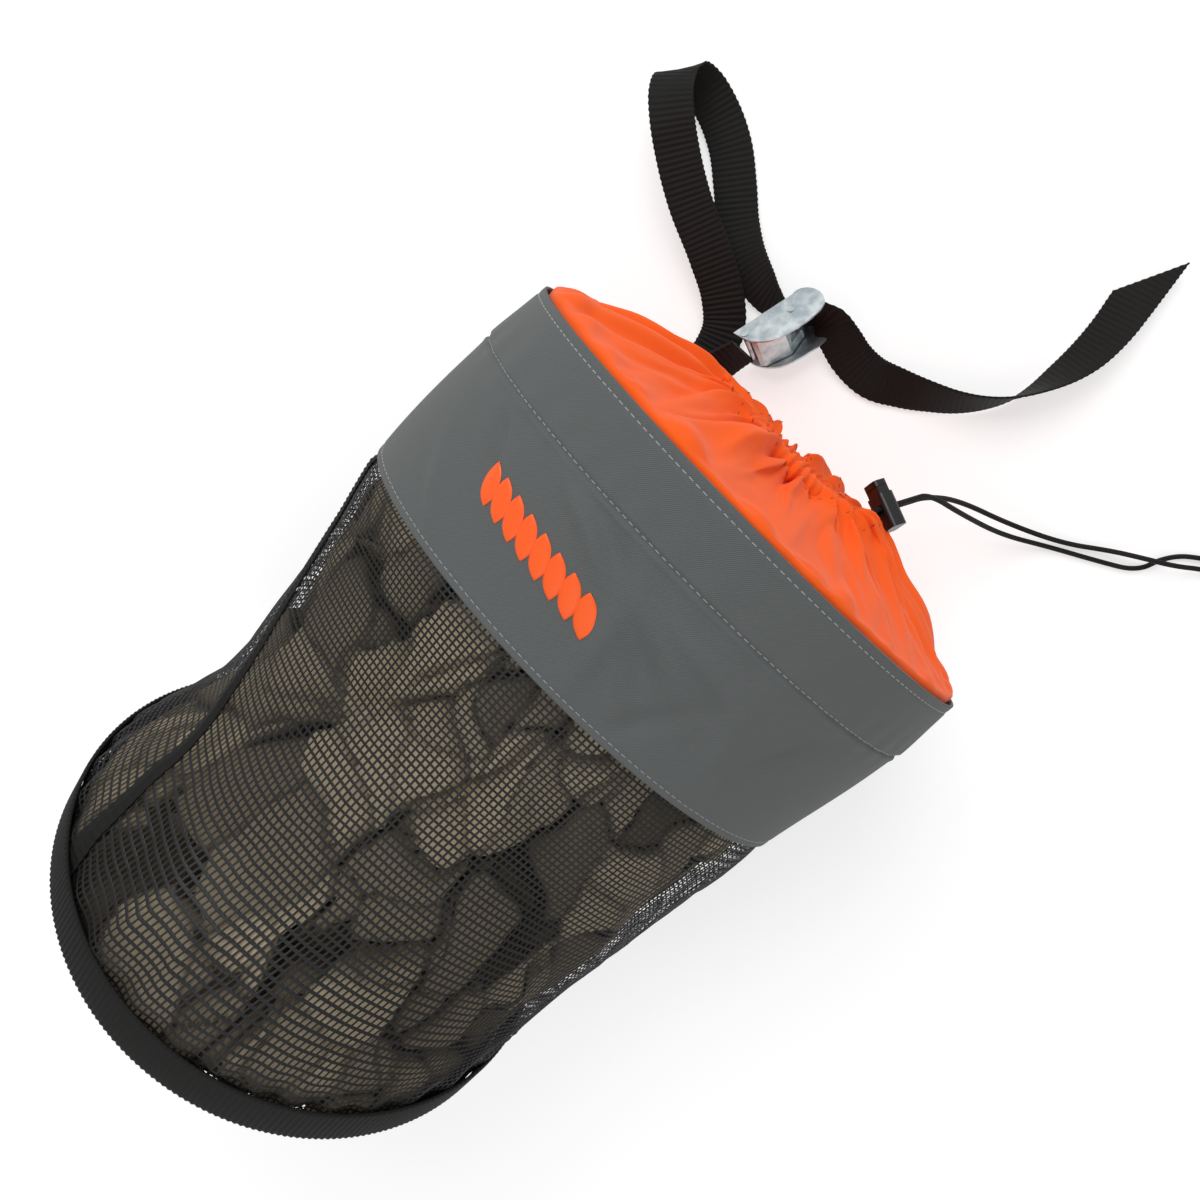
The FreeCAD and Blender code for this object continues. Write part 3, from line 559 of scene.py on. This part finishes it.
def make_paper():
    """Crushed wrapping paper: big tilted plates with deep creases between them, then finer ones."""
    random = np.random.default_rng(21)
    rows, columns = 130, 400
    d, t = rings(np.linspace(70, 333.5, rows), columns)
    base = bag(d, t, -PAPER_GAP)
    flat = base.reshape(-1, 3)
    push = np.stack([soft_noise(base, 0.035, k).ravel() for k in (1, 2, 3)], -1)
    height = np.zeros(len(flat))
    tone_and_painted_shade = np.full(len(flat), 0.86)
    stretch = np.array([0.62, 1.0, 1.0])
    for count, wander, tilt, drop, crease, wide in PLATES:
        seeds = flat[random.choice(len(flat), count, replace=False)]
        place = (flat + push * wander) * stretch
        far = np.linalg.norm(place[:, None] - (seeds * stretch)[None], axis=-1)
        order = np.argsort(far, axis=1)[:, :2]
        near = np.take_along_axis(far, order, axis=1) / MM
        mine = order[:, 0]
        lean = random.normal(size=(count, 3)) * tilt
        low = random.random(count) ** 1.5 * drop
        gap = np.exp(-(near[:, 1] - near[:, 0]) / wide)
        height += ((flat - seeds[mine]) / MM * lean[mine]).sum(1) - low[mine] - crease * gap
        # Painted shade: the tone darkens in the creases and on the sunk plates; the random part is the
        # paper's own tone.
        tone_and_painted_shade += random.normal(size=count)[mine] * 0.15 - low[mine] / drop * 0.30 - 0.42 * gap
    height += crumple(flat, 4, 0.05, 2.2)
    near_side = 0.35 + 0.65 * np.clip(np.sin(t), 0, 1) ** 1.5
    near_base = 0.35 + 0.65 * np.clip((312 - d) / 40, 0, 1)
    height = np.clip(height, -24, 0).reshape(d.shape) * near_side * near_base
    closing = np.clip((d - 70) / 45, 0, 1) ** 0.5 * np.clip((334 - d) / 6, 0, 1) ** 0.25
    grid = bag(d, t, height - PAPER_GAP + 2 * np.clip((d - 310) / 20, 0, 1))
    middle = grid.mean(axis=1, keepdims=True)
    grid = middle + (grid - middle) * (0.35 + 0.65 * closing)[..., None]
    ends = grid[[0, -1]].mean(axis=1)
    points = np.concatenate([grid.reshape(-1, 3), ends])
    faces = grid_faces(rows, columns, True).tolist()
    first, last = rows * columns, rows * columns + 1
    for j in range(columns):
        n = (j + 1) % columns
        faces.append([first, n, j])
        faces.append([last, (rows - 1) * columns + j, (rows - 1) * columns + n])
    paper = make("paper_stuffing", points, faces, PAPER, smooth=False)
    tone_and_painted_shade = np.concatenate([np.clip(tone_and_painted_shade, 0, 1), [0.3, 0.3]])
    shade = paper.data.attributes.new("tone_and_painted_shade", "FLOAT", "POINT")
    shade.data.foreach_set("value", tone_and_painted_shade.astype(np.float32))


# ---------------------------------------------------------------- the drawstring collar

# share of the way out from the casing to the rim, then x at the +Y side, the top, the -Y side and the bottom
COLLAR = np.array([
    [0.955, -11, -11, -11, -11],
    [0.992, 4, 3, 3, 3],
    [0.93, 20, 11, 13, 15],
    [0.68, 32, 17, 27, 27],
    [0.40, 38, 23, 31, 34],
    [0.20, 39, 25, 36, 36],
    [0.06, 33, 24, 36, 33],
    [0.0, 24, 20, 25, 23],
])


def collar_face(u, angle):
    """The collar at u (0 at the rim, 1 at the casing) and an angle."""
    u, angle = np.broadcast_arrays(u, angle)
    stops = np.linspace(0, 1, len(COLLAR))
    share, side, top, other, under = np.moveaxis(smooth_curve(stops, COLLAR, u), -1, 0)
    c, s = np.cos(angle), np.sin(angle)
    weights = np.maximum(np.stack([c, s, -c, -s]), 0) ** 2
    x = (weights * np.stack([side, top, other, under])).sum(0)
    full = np.stack([x * 0, 1.2 + 144.4 * c, 120.3 + 120.6 * s], -1)
    ring = np.stack([x * 0, 46 * c, 95 + 46 * s], -1)
    place = ring + (full - ring) * share[..., None]
    place[..., 0] = x
    return place


# the collar's cut: from the rim to the casing, and round (mm)
COLLAR_CUT = (118.0, 840.0)
COLLAR_SEWN_ROWS = 8


CLOTH = {
    "quality": 8, "mass": 0.3, "air_damping": 6,
    "tension_stiffness": 20, "compression_stiffness": 6, "shear_stiffness": 4, "bending_stiffness": 0.35,
    "tension_damping": 20, "compression_damping": 20, "shear_damping": 15,
    "use_pressure": True, "uniform_pressure_force": 0.6,
}


def settle(grid, frames=26, reach=15.0):
    """Lets the collar's cloth, cut as a plain tube, buckle between its sewn rim and its casing."""
    rows, columns = grid.shape[:2]
    length, round_it = COLLAR_CUT
    u, t = rings(np.linspace(0, 1, rows), columns)
    radius = round_it / (2 * math.pi)
    tube = np.stack([u * length, radius * np.cos(t), radius * np.sin(t)], -1) * MM
    cloth = make("settling_collar", grid.reshape(-1, 3), grid_faces(rows, columns, True), ORANGE, body=None)
    cloth.shape_key_add(name="Basis")
    rest = cloth.shape_key_add(name="rest")
    rest.data.foreach_set("co", tube.astype(np.float32).ravel())
    pins = cloth.vertex_groups.new(name="pins")
    held = [i * columns + j for i in (*range(COLLAR_SEWN_ROWS), rows - 1) for j in range(columns)]
    pins.add(held, 1.0, "REPLACE")
    modifier = cloth.modifiers.new("cloth", "CLOTH")
    settings = modifier.settings
    settings.rest_shape_key = rest
    settings.vertex_group_mass = "pins"
    for key, value in CLOTH.items():
        setattr(settings, key, value)
    settings.effector_weights.gravity = 0.15
    modifier.collision_settings.use_collision = False
    scene = bpy.context.scene
    modifier.point_cache.frame_start, modifier.point_cache.frame_end = 1, frames
    for frame_number in range(1, frames + 1):
        scene.frame_set(frame_number)
    evaluated = cloth.evaluated_get(bpy.context.evaluated_depsgraph_get())
    found = np.zeros(rows * columns * 3, np.float32)
    evaluated.data.vertices.foreach_get("co", found)
    bpy.data.objects.remove(cloth)
    scene.frame_set(1)
    move = found.reshape(grid.shape).astype(float) - grid
    far = np.linalg.norm(move, axis=-1, keepdims=True)
    cap = reach * MM
    return grid + move * np.where(far > cap, cap / np.maximum(far, 1e-9), 1.0)


def even_out(grid, times):
    """Smooths a grid a little, leaving its first and last rows."""
    for _ in range(times):
        around = (np.roll(grid, 1, axis=1) + np.roll(grid, -1, axis=1)) / 2
        along = grid.copy()
        along[1:-1] = (grid[:-2] + grid[2:]) / 2
        mixed = grid * 0.4 + around * 0.3 + along * 0.3
        grid = np.concatenate([grid[:1], mixed[1:-1], grid[-1:]])
    return grid


def make_collar():
    rows, columns = 50, 380
    u, t = rings(np.linspace(0, 1, rows), columns)
    grid = collar_face(u, t)
    normal = normals_of(grid * MM + RIM, True)
    around = np.stack([np.cos(t), np.sin(t), u * 0.8], -1)
    warp = soft_noise(around, 0.55, 3)
    big = soft_noise(around * np.array([1, 1, 0.4]), 0.30, 8)
    grow = np.clip((u - 0.10) / 0.75, 0, 1)
    pleat = np.abs(np.sin(t * 13 + 2.6 * warp)) ** 0.8 - 0.6
    fine = np.sin(t * 47 + 5 * warp)
    height = pleat * (1.4 + 10.5 * grow**1.4) + fine * 2.2 * grow**2
    height += big * 14.0 * np.sin(math.pi * np.clip(u * 1.05, 0, 1))
    height *= np.clip(u / 0.18, 0, 1)
    grid = (grid + normal * height[..., None]) * MM + RIM
    grid = even_out(settle(grid), 2)
    collar = shell("collar_cloth", grid, 1.0 * MM, ORANGE)
    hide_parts("drawstring_collar")
    row = int(rows * 0.80)
    line, normal = grid[row], normals_of(grid, True)[row]
    pick = np.arange(0, columns, 3)
    along = np.roll(line, -1, axis=0) - np.roll(line, 1, axis=0)
    places = (line[pick], along[pick], normal[pick])
    dashes("casing_stitches", places, DARK_THREAD, length=2.0, width=0.5, lift=0.2)


def make_casing():
    """The pleated hem that the drawstring runs in, a puckered ring."""
    v, t = rings(np.linspace(0, 2 * math.pi, 20, endpoint=False), 440)
    pleat = 1.3 * np.abs(np.sin(t * 24 + np.sin(t * 3))) + 0.7 * np.sin(t * 61)
    tube = 5.6 + pleat
    radius = 44 + tube * np.cos(v)
    x = 23 + tube * np.sin(v)
    grid = np.stack([x, radius * np.cos(t), 95 + radius * np.sin(t)], -1) * MM + RIM
    rows, columns = v.shape
    faces = grid_faces(rows, columns, True)
    j = np.arange(columns)
    n = (j + 1) % columns
    start = (rows - 1) * columns
    last = np.stack([start + j, start + n, n, j], -1)
    casing = make("casing_cloth", grid.reshape(-1, 3), np.concatenate([faces, last]), ORANGE)
    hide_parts("collar_casing")


# ---------------------------------------------------------------- webbing

STRAP = np.array([
    [-22, 73, 6.7, -90, -23], [4, 73, 6.0, -88, -20], [28, 74, 5.2, -80, -7], [48, 81, 6, -60, -3],
    [60, 94, 10, -42, 0], [71, 115, 17, -30, 0], [84, 145, 25, -28, 0], [97, 167, 32, -30, 0],
    [108, 182, 37, -32, 0], [118, 193, 36, -34, 0], [127, 199, 28, -36, -4], [132, 197, 17, -36, -4],
    [134, 187, 8, -34, 0], [131, 172, 3, -32, 0], [123, 154, 1.6, -33, 0], [109, 135, 1.6, -36, 0],
    [95, 118, 2, -36, 4], [85, 101, 5, -24, 14], [80, 85, 8.6, -8, 30], [78, 71, 12.2, 16, 48],
    [79, 60.4, 15.2, 50, 57], [84.2, 53.4, 17.3, 67, 58], [90.4, 48.2, 18.2, 60, 57],
    [92.6, 40, 17.6, 30, 46],
    [90.6, 28, 13, 8, 30], [88, 14, 7.4, 0, 18], [89, -2, 4.8, 14, 14], [95, -16, 7.4, 30, 30],
    [103, -31, 10.6, 34, 47], [112, -45, 12.2, 42, 60], [122, -56, 13.2, 50, 72], [134, -65, 13.7, 60, 84],
    [148, -71, 13.5, 70, 100], [164, -75, 12, 80, 120], [181, -77, 10.2, 88, 136], [200, -76, 7.8, 94, 147],
    [219, -72.5, 5.8, 102, 158],
])
TAB = np.array([
    [-22, 72, 10.1, -90, -23], [2, 71, 10.8, -91, -26], [20, 68.5, 14.2, -95, -38],
    [36, 65, 17.8, -106, -52], [46.3, 62.3, 20.1, -113, -58],
])


RIB_STEPS = 6


def webbing(name, stations, thickness, pointed=0.0, width=25.4, pitch=3.2):
    """Ribbed webbing along stations of x, y, z and its width's azimuth and elevation, and its length."""
    places = stations[:, :3]
    az, el = np.radians(stations[:, 3]), np.radians(stations[:, 4])
    ways = np.stack([np.cos(el) * np.cos(az), np.cos(el) * np.sin(az), np.sin(el)], -1)
    run = np.concatenate([[0], np.cumsum(np.linalg.norm(np.diff(places, axis=0), axis=1))])
    fine = np.linspace(0, run[-1], 4000)
    path = smooth_curve(run, places, fine)
    true = np.concatenate([[0], np.cumsum(np.linalg.norm(np.diff(path, axis=0), axis=1))])
    count = int(true[-1] / pitch) * RIB_STEPS
    where = np.interp(np.linspace(0, true[-1], count + 1), true, fine)
    middle = smooth_curve(run, places, where)
    across = smooth_curve(run, ways, where)
    along = np.gradient(middle, axis=0)
    along /= np.linalg.norm(along, axis=1, keepdims=True)
    across = across - along * (across * along).sum(1, keepdims=True)
    across /= np.linalg.norm(across, axis=1, keepdims=True)
    up = np.cross(along, across)
    if pointed:
        extra = int(pointed / pitch) * RIB_STEPS
        more = np.arange(1, extra + 1)[:, None] * pitch / RIB_STEPS
        middle = np.concatenate([middle, middle[-1] + along[-1] * more])
        across = np.concatenate([across, np.repeat(across[-1:], extra, 0)])
        along = np.concatenate([along, np.repeat(along[-1:], extra, 0)])
        up = np.concatenate([up, np.repeat(up[-1:], extra, 0)])
    rib = np.cos(np.arange(len(middle)) * 2 * math.pi / RIB_STEPS)
    low = -width / 2 * np.ones(len(middle))
    if pointed:
        low[count:] = -width / 2 + width * np.linspace(0, 0.985, len(middle) - count)
    high = width / 2 + 0.22 * rib
    low = low - 0.22 * rib
    shares = np.array([0, 0.02, 0.08, 0.22, 0.4, 0.6, 0.78, 0.92, 0.98, 1.0])
    lane = low[:, None] + (high - low)[:, None] * shares
    body = thickness / 2 - 0.12
    edge = np.array([0.45, 0.9, 1, 1, 1, 1, 1, 1, 0.9, 0.45])
    half = body * edge[None] + 0.24 * rib[:, None] * (edge[None] > 0.9)
    top = middle[:, None] + across[:, None] * lane[..., None] + up[:, None] * half[..., None]
    under = middle[:, None] + across[:, None] * lane[..., None] - up[:, None] * half[..., None]
    rows, lanes = top.shape[:2]
    loop = np.concatenate([top, under[:, ::-1]], axis=1)
    faces = grid_faces(rows, lanes * 2, True)
    ends = [list(range(lanes * 2)), list(range((rows - 1) * lanes * 2, rows * lanes * 2))[::-1]]
    piece = make(name, loop.reshape(-1, 3) * MM + RIM, faces.tolist() + ends, WEBBING)
    return piece, true[-1] + pointed / 2


def make_straps():
    strap, length = webbing("strap_webbing", STRAP, 1.6, pointed=32.0)
    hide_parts("webbing_strap")
    tab, length = webbing("tab_webbing", TAB, 3.0)
    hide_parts("buckle_tab")


# ---------------------------------------------------------------- cords

# the cord lock's own directions: along the cords, along its button, and across both
CORD_WAY = np.array([0.72, -0.42, -0.55]) / math.sqrt(0.72**2 + 0.42**2 + 0.55**2)
LOCK_UP = np.array([0.34, 0.94, -0.273])
LOCK_UP = LOCK_UP - CORD_WAY * (LOCK_UP @ CORD_WAY)
LOCK_UP = LOCK_UP / np.linalg.norm(LOCK_UP)
LOCK_SIDE = np.cross(LOCK_UP, CORD_WAY)


def along_cord(far, aside):
    """A place on the straight run of the cords out of the casing (mm)."""
    return np.array([23.0, -44.0, 95.0]) + CORD_WAY * far + LOCK_SIDE * aside


def straight_run(aside):
    return [along_cord(far, aside) for far in (0, 20, 43.8, 56)]


UPPER_TAIL = straight_run(1.8) + [
    (74, -84, 38), (86, -118, 12), (101, -150, 1.7),
    (117, -171, 2.6), (127, -186, 8.6), (136, -201, 8.6), (147, -215, 2.6), (156, -229, 3.6),
]
LOWER_TAIL = straight_run(-1.8) + [
    (70, -91, 44), (79, -120, 14), (94, -146, 1.7),
    (108, -171, 1.7), (120, -191, 1.7), (136, -195, 1.7), (149, -206, 1.7), (158, -222, 3.4),
]


CORD_RADIUS = 1.5


def nurbs_cord(name, route):
    data = bpy.data.curves.new(name, "CURVE")
    data.dimensions = "3D"
    spline = data.splines.new("NURBS")
    spline.points.add(len(route) - 1)
    for point, place in zip(spline.points, route):
        point.co = (*(RIM + np.asarray(place, float) * MM), 1)
    spline.order_u = 3
    spline.use_endpoint_u = True
    spline.resolution_u = 16
    data.bevel_depth = CORD_RADIUS * MM
    data.bevel_resolution = 4
    data.use_fill_caps = True
    data.materials.append(CORD)
    thing = bpy.data.objects.new(name, data)
    bpy.context.scene.collection.objects.link(thing)
    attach(thing, "bag")
    return thing


def make_cords():
    """The knot, a closed trefoil, and the two tails that end in it."""
    t = np.linspace(0, 2 * math.pi, 160, endpoint=False)
    turn = np.radians(-55)
    a = (np.sin(t) + 2 * np.sin(2 * t)) * 1.75
    b = (np.cos(t) - 2 * np.cos(2 * t)) * 1.45
    c = -np.sin(3 * t) * 2.4
    x = 160 + a * math.cos(turn) - b * math.sin(turn)
    y = -230 + a * math.sin(turn) + b * math.cos(turn)
    line = np.stack([x, y, 5.2 + c], -1)
    along = np.roll(line, -1, 0) - np.roll(line, 1, 0)
    along /= np.linalg.norm(along, axis=1, keepdims=True)
    side = np.cross(along, [0, 0, 1.0])
    side /= np.linalg.norm(side, axis=1, keepdims=True)
    up = np.cross(side, along)
    v = np.linspace(0, 2 * math.pi, 14, endpoint=False)
    round_it = side[:, None] * np.cos(v)[None, :, None] + up[:, None] * np.sin(v)[None, :, None]
    loop = line[:, None] + CORD_RADIUS * round_it
    loop = np.concatenate([loop, loop[:1]])
    knot = make("tail_knot", loop.reshape(-1, 3) * MM + RIM, grid_faces(len(loop), len(v), True), CORD)
    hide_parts("tail_end_knot")
    for name, route, node, length in (
        ("upper_tail", UPPER_TAIL, "drawstring_tail_upper", 0.2659),
        ("lower_tail", LOWER_TAIL, "drawstring_tail_lower", 0.2650),
    ):
        tail = nurbs_cord(name, route)
        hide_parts(node)


# ---------------------------------------------------------------- the CAD pieces that are shown

def dress(node, material, bevel=0.0):
    """Gives a CAD piece its material and rounds its sharp edges (mm)."""
    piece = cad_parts[node]
    piece.data.materials.clear()
    piece.data.materials.append(material)
    if bevel:
        edge = piece.modifiers.new("edge", "BEVEL")
        edge.width = bevel * MM
        edge.segments = 3
        edge.limit_method = "ANGLE"
        edge.angle_limit = math.radians(35)
        edge.harden_normals = False
    return piece


def dress_cad():
    dress("buckle_frame", ZINC, 0.45)
    dress("cam_lever", ZINC, 0.4)
    dress("cam_pin", ZINC, 0.4)
    dress("buckle_bar", ZINC, 0.4)
    dress("cam_spring", SPRING)
    dress("cord_lock_body", BLACK_PLASTIC, 0.9)
    dress("cord_lock_plunger", BLACK_PLASTIC, 0.6)
    dress("cord_lock_spring", SPRING)
    dress("drawstring_loop", CORD)
    dress("base_binding_tape", WEBBING, 0.3)
    dress("bar_tack_stitches", DARK_THREAD)


place_camera()
set_the_stage()
make_cords()
make_straps()
make_band()
make_motif()
make_collar()
make_casing()
make_wall()
make_base()
make_seam()
make_paper()
dress_cad()
